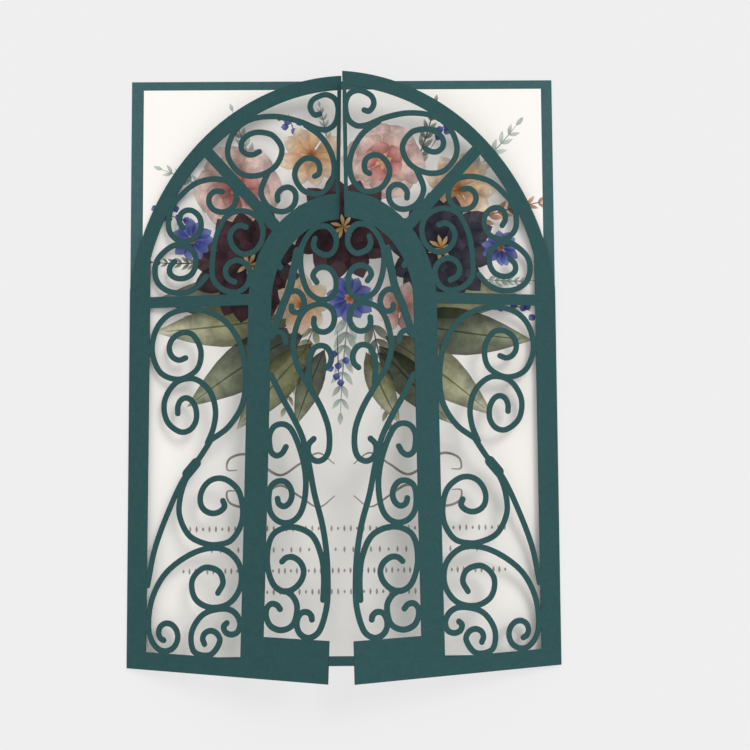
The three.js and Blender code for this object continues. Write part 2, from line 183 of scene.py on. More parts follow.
jacketSheet = {
    "thickness": 0.3,
    "foldRadius": 0.35,          # at the middle of the sheet
    "foldLength": 116.5,         # from the bottom edge up to the shoulder
    "shoulderWidth": 134.4,
    "shoulderSlit": 0.2,
    "ajar": {-1: (20.5, 6.5), 1: (21.0, 10.5)},    # degrees at the bottom and the top, by side
    "leafWidth": 67.8,
    "leafHeight": 183.5,
    "stileWidth": 6.9,
    "railHeight": 5.3,
    "barOffset": 39.35,
    "barWidth": 7.4,
    "crossbarWidth": 3.5,
    "crossbarDrop": 1.5,
    "archBand": 4.6,
    "archDrop": 12.0,
    "edgeBand": 1.2,
    "doorBlockHeight": 12.1,
    "doorArchDrop": 4.2,
    "doorArchRise": 25.0,
    "doorArchBand": 8.2,
    "scrollWidth": 1.75,
    "specialWidths": {"spear": 2.4, "collar": 3.2, "strut": 3.6},
    "perSpan": 7,                # points of a scroll between two drawn ones
    "archSteps": 64,
    "foldSteps": 10,
    "gridSpacing": 6.0,          # of the points that let a leaf twist smoothly
    "cutMargin": 1.0,
    "jointRadius": 0.15,
    "jointSteps": 8,
}

# Scrolls as points on their centre lines, in hundredths of the window that they fill:
# across from the fold's side, and up from the window's lower edge
sideScrolls = {
    "footCurl": [
        [85.1, 9.6], [82, 8.6], [83.9, 7.1], [89.8, 6.5], [96.3, 7.3], [98.8, 9.4], [96.3, 11.5],
        [90.6, 13], [81.3, 13.5], [60.4, 11.6], [48.6, 6.2], [51.8, 1.1], [69.1, 0.6], [78.4, 4.7],
        [74.9, 6.6], [68.6, 7.2], [62.7, 6.4], [60.5, 4.9], [62.4, 3.4],
    ],
    "tailCurl": [
        [75.3, 17.8], [80.2, 20.7], [76.1, 23.7], [60.6, 24.7], [48.4, 21.1], [51.3, 16.1],
        [66.3, 13.7], [86.6, 15], [98.2, 19.9], [96.3, 26], [80.4, 30], [55.2, 29.5],
        [20.7, 22.9], [5.5, 14.8],
        [2.9, 6.2], [7.4, 2.8], [15, 0.9], [23.3, 0.8], [30.6, 2.1], [34.1, 4.5], [32.5, 6.8],
        [27.1, 8.3], [20.7, 8.5], [15.4, 7.5], [13.5, 5.8], [15.4, 4.3], [19.2, 3.7],
    ],
    "stem": [
        [65.7, 61.4], [54, 56.1], [36.9, 49.5], [21.6, 40.1], [8.1, 29.5], [0.8, 19],
    ],
    "waistCurl": [
        [78.3, 43.7], [80.2, 42.2], [76.2, 40.8], [69.4, 40.1], [61.6, 40.6], [56.3, 42.2], [55, 44.7],
        [57.8, 47.2], [64, 49.2], [72.7, 50.1], [82, 49.6], [93.5, 46.8], [98.5, 41.8], [97.3, 37.2],
        [87.5, 32.6], [73.9, 31.3], [62.3, 31.4], [44.2, 33.7], [33.8, 39.3], [34.1, 44.3], [40, 49.8],
        [50.6, 53.7],
    ],
    "shoulderCurl": [
        [65.7, 61.2], [82.1, 64.7], [95.6, 71], [98.6, 79.8], [92.1, 89], [78.2, 95.1], [62.7, 98],
        [47.3, 99.2], [31.8, 99.1], [18.2, 97.6], [8.3, 94.5], [3.3, 90.3], [3.3, 86], [12.6, 80.6],
        [31.8, 78.8], [49.5, 81.7], [52.9, 87], [44.8, 91.6], [37.1, 92.5], [29.4, 92], [23.2, 90.5],
        [20.4, 88.3], [21.9, 86.2], [25.9, 84.9], [31.2, 84.4], [37.4, 85],
    ],
    "chestCurl": [
        [61.4, 60.2], [67.3, 64.7], [68.8, 69.9], [62.5, 75.2], [46.7, 78.8], [28.1, 77.8], [16.3, 72.4],
        [19.4, 66.5], [33.7, 63.4], [43.1, 64], [49, 66.5], [48.9, 70], [44.3, 72.5], [38.7, 73.3],
        [33.4, 72.7], [30.3, 70.9], [30.3, 68.8],
    ],
    "collar": [
        [41, 51.3], [50, 54.4],
    ],
}
topScrolls = {
    "outerCurl": [
        [25.7, 31.6], [24.1, 34.6], [24.8, 38], [27.3, 39.6], [30.4, 39.3], [33.7, 36.3], [34.6, 32],
        [32.5, 27.4], [25.4, 25.1], [19.5, 29.8], [19.2, 38.4], [22.5, 45.1],
    ],
    "hoodCurl": [
        [21.5, 43.8], [30.2, 51.3], [36.2, 53.4], [42.1, 53.7], [47.3, 52.1], [50.7, 48.2], [51.3, 43.7],
        [49.2, 39.8], [45.1, 38.2], [40.8, 39.3], [38.3, 42.6], [38.6, 45.9], [41.1, 48], [44.5, 47.7],
    ],
    "cornerCurl": [
        [22, 16.1], [19.8, 13.7], [19.8, 10.7], [22.5, 8.5], [26.4, 8.1], [30.1, 9.7], [32.2, 13.5],
        [32.1, 18.1], [29.8, 21.6], [25.7, 23.6], [21.3, 23.5], [13.7, 17.4], [12.4, 11.6], [13.9, 6.5],
        [18, 3], [23.5, 1.5], [29, 1.9], [33.8, 4.6], [37.7, 8.6],
    ],
    "doubleCurl": [
        [56.3, 30.7], [53.2, 31.6], [50.1, 29.9], [48.7, 26.3], [50.5, 21.5], [54.9, 18.3], [59.5, 19],
        [63.2, 22.6], [64.4, 28.2], [62.5, 33.9], [58, 37.4], [52.7, 38.3], [47.3, 36.5], [42.4, 28],
        [40.5, 16.3], [40.9, 7.7], [43.7, 3.8], [47.9, 1.5], [52.6, 1], [56.6, 3.2], [58.3, 6.9],
        [58.3, 10.8], [56.1, 14], [52.3, 15.6], [48.7, 14.4], [46.8, 11.3], [48, 7.5], [51.4, 5.6],
    ],
    "crownCurl": [
        [61.9, 65.7], [58.9, 64.4], [55.7, 64.9], [53.5, 67.3], [53.5, 70.5], [56.2, 73.5], [59.9, 74.8],
        [64.3, 74.5], [68.3, 72.9], [72.6, 66.4], [70, 58.9], [62.6, 54.7], [53.8, 55.5], [47.6, 62.6],
        [47, 68.6], [50.5, 76.4], [57.3, 81], [69.1, 82], [80.5, 79.2], [89.8, 75.1], [93.8, 74.8],
        [97, 76.9], [98.5, 80.8], [98.5, 85.9], [96.6, 89.6], [93, 91.3], [89.5, 90.6], [86.6, 88.8],
        [85.6, 86.1], [86.4, 83.4], [88.2, 81.8], [90.1, 82.2],
    ],
    "edgeCurl": [
        [83.6, 77.2], [90.2, 72.1], [95.1, 64.9], [97.3, 56.5], [95.5, 48.8], [90.3, 44.7], [83, 46.6],
        [79, 52.9], [79.2, 56.6], [81.1, 59.8], [84.1, 61.6], [87.1, 61.3], [89.6, 59.5], [90.5, 56.5],
        [89.9, 53.9], [88.2, 53],
    ],
    "heartCurl": [
        [66.2, 55.6], [63.1, 47.6], [64.1, 43.3], [66.9, 39.6], [70.9, 37.5], [75, 37.4], [78.3, 39.6],
        [79.5, 42.9], [78.9, 46.3], [76.2, 48.4], [73, 47.8], [70.9, 45.4], [71, 42.5],
    ],
    "strut": [
        [32.1, 72], [71.4, 29.3],
    ],
}
doorScrolls = {
    "headCurl": [
        [64.1, 95.4], [62.1, 94], [65.5, 92.5], [74.5, 91.5], [84.9, 91.2], [93.1, 92.3], [96.4, 94.4],
        [92.7, 96.5], [83.2, 98.2], [69.8, 98.4], [58.4, 97.3], [45, 93.5], [43.5, 88.2], [53.5, 82.7],
        [63.9, 80.9], [75.3, 80.1], [86.7, 80.4], [94.3, 81.7], [97.2, 84], [93.9, 86.2], [85.4, 87.8],
        [74.9, 88.2], [65.9, 87.5], [62.1, 86.1], [67.8, 84.5],
    ],
    "breastCurl": [
        [64.9, 75.6], [64.9, 74], [70.5, 72.6], [81.4, 72.2], [91.4, 73.2], [95.2, 75.3], [91.9, 77.5],
        [81, 78.9], [66.8, 79], [52.5, 77.9], [42.1, 75.4], [34.5, 69.3], [41.7, 64], [61.6, 58.6],
        [79.6, 53.5], [90.5, 48.5], [91, 43.7], [85.4, 41.9], [76, 41.2], [67, 41.7], [60.9, 43.1],
        [61.3, 45.2], [68.4, 46.5],
    ],
    "hook": [
        [83.8, 63.4], [89.9, 64.4], [91.8, 66], [88.5, 67.6], [82.8, 68.6], [74.8, 68.9], [66.8, 68.4],
        [61.1, 66.6], [58.7, 64.3], [60.7, 59.4],
    ],
    "spear": [
        [37.9, 92.5], [32.6, 87.6], [26.9, 83.1], [17.4, 79.1], [9.8, 75.5], [2.2, 71.6],
    ],
    "bud": [
        [30.2, 78.8], [31.2, 77.7], [36.4, 77.2], [44.9, 77.4], [49.7, 79.3], [45.9, 81.4], [37.3, 82.5],
        [24, 82.1],
    ],
    "sprig": [
        [0.3, 71.8], [10.8, 72.6], [19.3, 71.9], [23.6, 69.8],
    ],
    "nib": [
        [7.9, 90], [13.1, 88.5],
    ],
    "vine": [
        [1.9, 61.9], [19, 56.6], [37.1, 51.5], [51.4, 46.8], [61.9, 40.6], [71.5, 33.5], [83.8, 26.8],
        [91, 20.8], [94.5, 14.8], [94.3, 7.7], [84.7, 2.2], [76.8, 0.9], [67.9, 0.4], [57.1, 1],
        [50.9, 2.6], [51.3, 4.6], [57.3, 6], [65.8, 6.2], [71.9, 5.4], [72.9, 4.6],
    ],
    "leafCurl": [
        [26.8, 44.6], [21.2, 43.1], [13.2, 42.5], [5.1, 43.3], [1.7, 45.3], [1.7, 47.6], [8.3, 49.5],
        [19.6, 50.1], [31.5, 49.3], [48.6, 43.8], [58.2, 36.3], [53.2, 29.7], [42.9, 27.4], [29.2, 26.6],
        [16, 27.2], [5.9, 29], [2.5, 32], [5.3, 35.1], [15.2, 36.4], [27.1, 36.3], [35.6, 34.7],
        [37.5, 32.9], [33.3, 31.2], [25.8, 30.5], [18.2, 31.1], [15.8, 32.3],
    ],
    "rootCurl": [
        [88.6, 9.2], [88.9, 14.1], [84.5, 19], [68.4, 24], [36.3, 25.7], [9.9, 23.7], [2.5, 17.5],
        [14.1, 12], [30.3, 10.7], [44.9, 11.5], [55.6, 13.5], [58.4, 15.7], [52.7, 17.6], [41.3, 18.7],
        [31.4, 18.5], [25.3, 17.6],
    ],
    "footHook": [
        [32.2, 10.8], [42.1, 9.8], [49.3, 7.9], [49.4, 5.5], [44.8, 3.3], [36.3, 2.2], [23.1, 1.8],
        [9.8, 2.7], [3.5, 4.6], [3.9, 6.6], [10.5, 7.7], [19.1, 7.5], [24.3, 6.6],
    ],
}


def archPoints(height, across, rise, lowest, steps):
    # A quarter ellipse round the given height, from its peak at the free edge down to the lowest
    angle = np.linspace(math.pi / 2, math.asin((lowest - height) / rise), steps + 1)
    leafWidth = jacketSheet["leafWidth"]
    return np.column_stack([leafWidth - across * np.cos(angle), height + rise * np.sin(angle)])


def leafOutlines(s):
    # The outlines that make up a leaf: blank, openings and scrolls, from the fold and the bottom edge
    width, foldLength, margin = s["leafWidth"], s["foldLength"], s["cutMargin"]
    barEnd = s["barOffset"] + s["barWidth"]
    crossbarTop = foldLength - s["crossbarDrop"]
    crossbarBottom = crossbarTop - s["crossbarWidth"]
    archHeight = foldLength - s["archDrop"]
    archRise = s["leafHeight"] - archHeight
    archAcross = width / math.sqrt(1 - (s["archDrop"] / archRise) ** 2)
    doorHeight = foldLength - s["doorArchDrop"]
    hoodRise = s["doorArchRise"] + s["doorArchBand"]
    sideWindow = (s["stileWidth"], s["barOffset"], s["railHeight"], crossbarBottom)
    topWindow = (0, width, crossbarTop, s["leafHeight"])
    doorWindow = (barEnd, width, s["doorBlockHeight"], doorHeight + s["doorArchRise"])
    steps = s["archSteps"]
    lap = -2 * margin
    outlines = {
        "blank": np.vstack([
            [[lap, 0], [width, 0]],
            archPoints(archHeight, archAcross, archRise, foldLength, steps),
            [[lap, foldLength]]]),
        "side": rectangle(*sideWindow),
        "door": np.vstack([
            [[barEnd, s["doorBlockHeight"]], [width + margin, s["doorBlockHeight"]],
             [width + margin, doorWindow[3]]],
            archPoints(doorHeight, width - barEnd, s["doorArchRise"], doorHeight, steps)]),
        "hood": np.vstack([
            [[width + margin, doorHeight], [width + margin, doorHeight + hoodRise]],
            archPoints(doorHeight, width - s["barOffset"], hoodRise, doorHeight, steps)]),
        "underArch": np.vstack([
            [[width, crossbarTop]],
            archPoints(archHeight, archAcross - s["archBand"], archRise - s["archBand"],
                       crossbarTop, steps)]),
        "insideFrame": rectangle(s["stileWidth"], width - s["edgeBand"], crossbarTop, s["leafHeight"]),
    }
    for scrolls, (left, right, bottom, top) in (
            (sideScrolls, sideWindow), (topScrolls, topWindow), (doorScrolls, doorWindow)):
        for name, points in scrolls.items():
            share = np.array(points) / 100
            places = share * [right - left, top - bottom] + [left, bottom]
            strokeWidth = s["specialWidths"].get(name, s["scrollWidth"])
            outlines["scroll " + name] = strokeOutline(places, strokeWidth, s["perSpan"])
    return outlines


def foldedPlaces(flat, side, foldStart, s):
    # Past the fold's start the sheet is an arc, and after its turn the leaf runs straight back over
    # the panel. The opening angle goes evenly from the bottom edge to the top.
    x, y, depth = flat.T
    outer = s["foldRadius"] + s["thickness"] / 2
    leafStart = foldStart + math.pi * s["foldRadius"] - outer
    bottomAngle, topAngle = s["ajar"][side]
    opening = np.radians(bottomAngle + (topAngle - bottomAngle) * y / s["leafHeight"])
    beyond = x - foldStart
    turn = np.minimum(beyond / s["foldRadius"], math.pi - opening)
    radius = outer - depth
    straight = beyond - turn * s["foldRadius"]
    across = foldStart + radius * np.sin(turn) + straight * np.cos(turn)
    height = outer - radius * np.cos(turn) + straight * np.sin(turn)
    stays = (beyond <= 0) | ((y > s["foldLength"]) & (x < leafStart))
    return np.column_stack([side * np.where(stays, x, across), y, np.where(stays, depth, height)])


def makeJacket(s, material):
    low, high = (np.array(corner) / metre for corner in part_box("jacket"))
    panelWidth, panelHeight = high[0] - low[0], high[1] - low[1]
    outer = s["foldRadius"] + s["thickness"] / 2
    foldStart = panelWidth / 2 - outer
    leafStart = foldStart + math.pi * s["foldRadius"] - outer
    leaf = {name: shape + [leafStart, 0] for name, shape in leafOutlines(s).items()}
    shapes = {
        "panel": rectangle(0, foldStart, 0, panelHeight),
        "shoulder": rectangle(foldStart - s["cutMargin"], s["shoulderWidth"] / 2,
                              s["foldLength"] + s["shoulderSlit"], panelHeight),
        **leaf,
    }
    spacing = s["gridSpacing"]
    across = np.arange(spacing / 2, leafStart + s["leafWidth"], spacing)
    up = np.arange(spacing / 2, panelHeight, spacing)
    grid = np.stack(np.meshgrid(across, up), -1).reshape(-1, 2)
    creases = foldStart + s["foldRadius"] * math.pi * np.arange(s["foldSteps"] + 1) / s["foldSteps"]
    lines = [np.array([[x, 0], [x, panelHeight]]) for x in creases]

    def cutPattern():
        points, triangles, inside = fillPlane(list(shapes.values()), grid, lines)
        within = dict(zip(shapes, inside.T))
        scroll = np.any([within[name] for name in shapes if name.startswith("scroll ")], axis=0)
        topOpening = within["underArch"] & within["insideFrame"] & ~within["hood"]
        cutOut = within["side"] | within["door"] | topOpening
        kept = within["panel"] | within["shoulder"] | (within["blank"] & (~cutOut | scroll))
        return points, triangles[kept]

    points, triangles = cutPattern()

    # Where two parts of the sheet touch in a single point, a small round joint makes them one.
    # More than two rim edges meet there.
    touching = points[np.flatnonzero(np.bincount(rimEdges(triangles).ravel()) > 2)]
    turn = np.linspace(0, 2 * math.pi, s["jointSteps"], endpoint=False)
    joint = s["jointRadius"] * np.column_stack([np.cos(turn), np.sin(turn)])
    for i, place in enumerate(touching):
        shapes[f"scroll joint {i}"] = place + joint
    points, triangles = cutPattern()
    corners, faces, flatFaces = thickSheet(points, triangles, s["thickness"])
    wallFaces = np.arange(len(faces)) >= flatFaces

    # The half pattern's wall on the centre line goes, because the two halves join there
    onCentre = wallFaces & (corners[faces][:, :, 0] < tiny).all(1)
    faces, wallFaces = faces[~onCentre], wallFaces[~onCentre]
    halves = [foldedPlaces(corners, side, foldStart, s) for side in (1, -1)]
    places = np.vstack(halves) - [0, panelHeight / 2, 0]
    allFaces = np.concatenate([faces, faces[:, ::-1] + len(corners)])
    centre = np.flatnonzero(corners[:, 0] < tiny)
    partner = np.arange(len(places))
    partner[centre + len(corners)] = centre
    jacket = meshPiece("jacket_sheet", places, partner[allFaces], material)
    # outerSide marks the jacket's outer faces. The material paints the other, inner side paler as
    # painted light
    outerFaces = np.arange(len(faces)) < flatFaces // 2
    for name, marked in (("cutEdge", wallFaces), ("outerSide", outerFaces)):
        mark = jacket.data.attributes.new(name, "FLOAT", "FACE")
        mark.data.foreach_set("value", np.tile(marked, 2).astype(np.float32))
    return jacket


# Card: card stock with a printed spray of flowers, leaves and a flourish

cardStock = {
    "bare": "#fcf8f3",
    "petalSteps": 9,
    "innerShare": 0.45,           # of half a petal's width, where the points inside it lie
    "toneStops": (0, 0.45, 1),    # shares of a petal's length that have its three tones
    "lineSteps": 8,               # points of a pen line between two drawn ones
    "thinEnd": 0.35,              # width of a pen line's ends as a share of its middle
    "drawSeed": 11,
}
inks = {
    "burgundy": ("#1b181e", "#33282e", "#5a3a43"),    # each from the root over the middle to the tip
    "plum": ("#17181f", "#2c2b35", "#4c4859"),
    "blush": ("#c0646a", "#e5b0a4", "#f7e2d8"),
    "rose": ("#a8474f", "#cf7b79", "#e9b5a8"),
    "peach": ("#a9622f", "#e3b384", "#f7e8d2"),
    "royal": ("#26306f", "#3b4a9b", "#7683bd"),
    "sage": ("#7f8d84", "#a3b2a8", "#c3cdc4"),
    "olive": ("#45452a", "#8c8e5f", "#d2d1b2"),
    "moss": ("#232a20", "#4d573c", "#a3a986"),
    "rust": ("#7d4a2a", "#b5713c", "#dba573"),
    "sepia": ("#6b5750", "#7a655c", "#8b766c"),
    "gold": ("#b98a4e", "#cfa66c", "#e5cb9e"),
}


def blade(base, heading, length, width, ink, bend=0.0, fullness=1.0, rim=0.12, cover=0.94):
    # A petal or leaf: half its width is width / 2 * sin(pi * t ^ fullness) at the share t of its
    # length, and its middle line leaves the heading by bend * length * t ^ 2. Its colour goes from
    # root to tip with t and darkens by the share rim towards its edges.
    base = np.array(base, float)
    along = np.array([math.cos(math.radians(heading)), math.sin(math.radians(heading))])
    normal = np.array([-along[1], along[0]])
    steps = cardStock["petalSteps"]

    def halfWidth(t):
        return width / 2 * np.sin(math.pi * np.clip(t, 0, 1) ** fullness)

    def placed(t, side):
        aside = bend * length * t ** 2 + side * halfWidth(t)
        return base + np.outer(length * t, along) + np.outer(aside, normal)

    t = np.linspace(0, 1, steps + 1)
    outline = np.vstack([placed(t, -1), placed(t[1:-1][::-1], 1)])
    innerShare = cardStock["innerShare"]
    inner = np.vstack([placed(t[2:-1:2], side) for side in (-innerShare, innerShare)])
    tones = np.array([linear(tone) for tone in inks[ink]])

    def paint(points):
        offset = points - base
        t = np.clip(offset @ along / length, 0, 1)
        narrowest = width / 20    # keeps the share finite at the tip
        side = np.abs(offset @ normal - bend * length * t ** 2) / np.maximum(halfWidth(t), narrowest)
        tone = np.stack([np.interp(t, cardStock["toneStops"], channel) for channel in tones.T], -1)
        return tone * (1 - rim * np.clip(side, 0, 1) ** 2)[..., None], cover

    return outline, inner, paint


def line(points, width, ink, tone=1, cover=0.9):
    # A stem or a pen stroke that thins out towards both ends
    steps, thinEnd = cardStock["lineSteps"], cardStock["thinEnd"]
    count = steps * (len(points) - 1) + 1
    widths = width * (thinEnd + (1 - thinEnd) * np.sin(math.pi * np.linspace(0, 1, count)))
    colour = linear(inks[ink][tone])
    outline = strokeOutline(points, widths, steps, endSteps=3)

    def paint(points):
        return np.broadcast_to(colour, points.shape[:-1] + (3,)), cover

    return outline, np.empty((0, 2)), paint


def pointAt(centre, heading, distance):
    angle = math.radians(heading)
    return np.array(centre, float) + distance * np.array([math.cos(angle), math.sin(angle)])


def bentLine(base, heading, length, bend, shares):
    # Points at the given shares t of a line that leaves its heading by bend * length * t ^ 2
    aside = pointAt((0, 0), heading + 90, 1)
    return np.array([
        pointAt(base, heading, length * t) + aside * bend * length * t ** 2 for t in shares])


def dahlia(centre, radius, ink, draw):
    # Rings of pointed petals, the outer ones first, round a few gold stamens
    rings = ((1.0, 13), (0.72, 11), (0.45, 8))    # share of the radius, and number of petals
    stamens = 7
    shapes = []
    for reach, count in rings:
        for i in range(count):
            heading = 360 * (i + 0.5 * reach) / count + draw.uniform(-5, 5)
            length = radius * reach * draw.uniform(0.92, 1.05)
            width = 4.2 * length / count + radius * 0.14    # petals of a ring overlap a little
            shapes.append(blade(
                centre, heading, length, width, ink, bend=draw.uniform(-0.1, 0.1),
                fullness=1.6, rim=0.45, cover=0.97))
    for i in range(stamens):
        heading = 360 * i / stamens + draw.uniform(-12, 12)
        shapes.append(blade(
            centre, heading, radius * 0.24, radius * 0.07, "gold", bend=0.1,
            fullness=1.2, rim=0.1, cover=0.9))
    return shapes


def camellia(centre, radius, ink, draw):
    # Three rings of broad round petals, each ring a little smaller, the inmost in a darker ink
    rings = ((1.0, 6, ink), (0.74, 5, ink), (0.48, 5, "rose"))    # share of the radius, petals, ink
    stamens = 6
    shapes = []
    for reach, count, tone in rings:
        for i in range(count):
            heading = 360 * (i + reach) / count + draw.uniform(-8, 8)
            length = radius * reach * draw.uniform(0.94, 1.04)
            shapes.append(blade(
                centre, heading, length, length * 0.98, tone, bend=draw.uniform(-0.08, 0.08),
                fullness=1.8, rim=0.42, cover=0.95))
    for i in range(stamens):
        shapes.append(blade(
            centre, 360 / stamens * i + 20, radius * 0.2, radius * 0.1, "gold",
            fullness=1.3, rim=0.1))
    return shapes


def daisy(centre, radius, ink, draw, petals=9):
    # One ring of narrow petals round a rust centre
    centreLobes = 6
    shapes = []
    for i in range(petals):
        heading = 360 * i / petals + draw.uniform(-7, 7)
        length = radius * draw.uniform(0.88, 1.06)
        shapes.append(blade(
            centre, heading, length, radius * 0.52, ink, bend=draw.uniform(-0.12, 0.12),
            fullness=1.6, rim=0.2))
    for i in range(centreLobes):
        shapes.append(blade(
            centre, 360 / centreLobes * i, radius * 0.22, radius * 0.17, "rust", rim=0.2))
    return shapes


def spray(base, heading, length, ink, bend, draw):
    # A stem with pairs of small leaves that shorten towards its tip
    pairs = 7
    leafLength = length * 0.2
    share = np.linspace(0, 1, pairs + 2)
    stem = bentLine(base, heading, length, bend, share)
    shapes = [line(stem, 0.5, ink, tone=0)]
    for i, place in enumerate(stem[1:-1]):
        turn = heading + math.degrees(math.atan(2 * bend * share[i + 1]))
        size = leafLength * (1.15 - 0.6 * share[i + 1])
        for side in (-1, 1):
            angle = turn + side * draw.uniform(34, 50)
            shapes.append(blade(
                place, angle, size, size * 0.34, ink, bend=-0.15 * side,
                fullness=0.9, rim=0.1, cover=0.85))
    shapes.append(blade(
        stem[-1], turn, leafLength * 0.6, length * 0.05, ink, fullness=0.9, rim=0.1, cover=0.85))
    return shapes


def lanceLeaf(base, heading, length, width, ink, bend):
    # A broad pointed leaf with its mid rib
    rib = bentLine(base, heading, length, bend, np.linspace(0.05, 0.92, 4))
    return [blade(base, heading, length, width, ink, bend, fullness=0.85, rim=0.6),
            line(rib, 0.6, ink, tone=0, cover=0.7)]


def berries(base, heading, length, ink, draw):
    # Small round berries scattered along the outer part of a stem
    count, berryLength, berryWidth = 6, 2.6, 2.3
    tip = pointAt(base, heading, length)
    bentMiddle = (np.array(base) + tip) / 2 + draw.uniform(-0.6, 0.6, 2)
    shapes = [line([base, bentMiddle, tip], 0.4, "moss")]
    for i in range(count):
        share = 0.35 + 0.65 * i / (count - 1)
        place = base + (tip - base) * share + draw.uniform(-1.6, 1.6, 2)
        shapes.append(blade(
            place, draw.uniform(0, 360), berryLength, berryWidth, ink, rim=0.25))
    return shapes


def printedDesign():
    # Painted from the back to the front, in millimetres from the middle of the card
    draw = np.random.default_rng(cardStock["drawSeed"])
    shapes = []
    for place, heading, length, ink, bend in (
            ((-34, 52), 148, 26, "sage", 0.1), ((-26, 60), 118, 24, "sage", -0.1),
            ((-4, 66), 96, 18, "sage", 0.08), ((22, 62), 66, 24, "moss", 0.1),
            ((34, 56), 38, 30, "sage", 0.12), ((40, 46), 22, 26, "rust", -0.12),
            ((44, 28), -8, 16, "sage", 0.1), ((-42, 34), 186, 18, "moss", -0.1),
            ((-38, 22), 205, 18, "sage", 0.1), ((2, 20), 262, 34, "sage", 0.05),
            ((8, 18), 284, 36, "moss", -0.06), ((-8, 16), 246, 30, "olive", 0.06)):
        shapes += spray(place, heading, length, ink, bend, draw)
    for place, heading, length, width, ink, bend in (
            ((-16, 21), 174, 43, 15, "moss", 0.08), ((-14, 17), 190, 46, 14, "olive", -0.06),
            ((-12, 12), 207, 44, 15, "moss", 0.1), ((-10, 8), 226, 36, 12, "olive", 0.05),
            ((-6, 6), 246, 26, 8, "moss", 0.05), ((14, 21), 6, 43, 14, "olive", -0.08),
            ((16, 15), -12, 44, 15, "moss", 0.06), ((13, 10), -31, 42, 14, "olive", -0.1),
            ((11, 7), -50, 34, 11, "moss", 0.05), ((7, 5), -68, 25, 8, "olive", 0.05)):
        shapes += lanceLeaf(place, heading, length, width, ink, bend)
    for place, heading, length in (((-46, 46), 160, 14), ((46, 22), -18, 14), ((-2, 12), 272, 18),
                                   ((-14, 72), 110, 10), ((28, 70), 60, 10)):
        shapes += berries(np.array(place, float), heading, length, "royal", draw)
    shapes += camellia((-33, 57), 15, "blush", draw)
    shapes += camellia((13, 66), 14, "blush", draw)
    shapes += daisy((-10, 68), 11, "peach", draw)
    shapes += daisy((37, 57), 12, "peach", draw)
    shapes += dahlia((-30, 33), 18, "burgundy", draw)
    shapes += dahlia((31, 38), 18, "plum", draw)
    shapes += dahlia((0, 45), 17, "burgundy", draw)
    shapes += daisy((-13, 20), 10, "peach", draw)
    shapes += daisy((18, 19), 9, "blush", draw)
    shapes += daisy((-48, 41), 7, "royal", draw, petals=11)
    shapes += daisy((2, 22), 8, "royal", draw, petals=11)
    shapes += daisy((50, 38), 6, "royal", draw, petals=11)
    shapes += flourish()
    return shapes


def flourish():
    # Two rows of mirrored pen waves that end in a curl, and below them rows of fine lozenges
    wave = [(3, 0), (8, 3.4), (14, 0), (20, -3.4), (26, 0), (31, 3.2), (36, 1.6), (36.5, -1.6),
            (33.6, -1.8)]
    waveRows = ((-30, 1), (-40, -1))    # height on the card, and up or down first
    # Height on the card, reach to each side, and number of lozenges
    lozengeRows = ((-50, 50, 51), (-56.5, 44, 33), (-63, 50, 55), (-69.5, 30, 31))
    shapes = []
    for y, rise in waveRows:
        for side in (-1, 1):
            stroke = [(side * x, y + rise * up) for x, up in wave][::side]
            shapes.append(line(stroke, 0.85, "sepia", tone=0, cover=0.8))
    for y, reach, count in lozengeRows:
        for i, x in enumerate(np.linspace(-reach, reach, count)):
            height = 2.1 if i % 3 else 1.2
            shapes.append(blade(
                (x, y - height / 2), 90, height, 0.7, "sepia", rim=0.1, cover=0.75))
    return shapes


def makeCard(s, material):
    low, high = (np.array(corner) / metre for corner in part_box("invitation_card"))
    middle = (low + high) / 2
    half = (high - low) / 2
    shapes = printedDesign()
    outlines = [rectangle(-half[0], half[0], -half[1], half[1]), *(shape[0] for shape in shapes)]
    loose = np.vstack([shape[1] for shape in shapes])
    points, triangles, inside = fillPlane(outlines, loose)
    onCard = inside[:, 0]
    triangles, inside = triangles[onCard], inside[onCard, 1:]
    colours = np.broadcast_to(linear(s["bare"]), (len(triangles), 3, 3)).copy()
    inked = np.zeros((len(triangles), 3))
    for (_, _, paint), covered in zip(shapes, inside.T):
        tone, cover = paint(points[triangles[covered]])
        colours[covered] += (tone - colours[covered]) * cover
        inked[covered] = 1
    corners, faces, flatFaces = thickSheet(points, triangles, high[2] - low[2])
    places = corners + [middle[0], middle[1], low[2]]
    card = meshPiece("card_sheet", places, faces, material)
    allColours = np.ones((len(faces), 3, 4))
    allColours[..., :3] = linear(s["bare"])
    allColours[..., 3] = 0    # alpha holds how much ink there is
    top = slice(len(triangles), 2 * len(triangles))
    allColours[top, :, :3] = colours
    allColours[top, :, 3] = inked
    ink = card.data.color_attributes.new("ink", "FLOAT_COLOR", "CORNER")
    ink.data.foreach_set("color", allColours.astype(np.float32).ravel())
    return card


# Materials

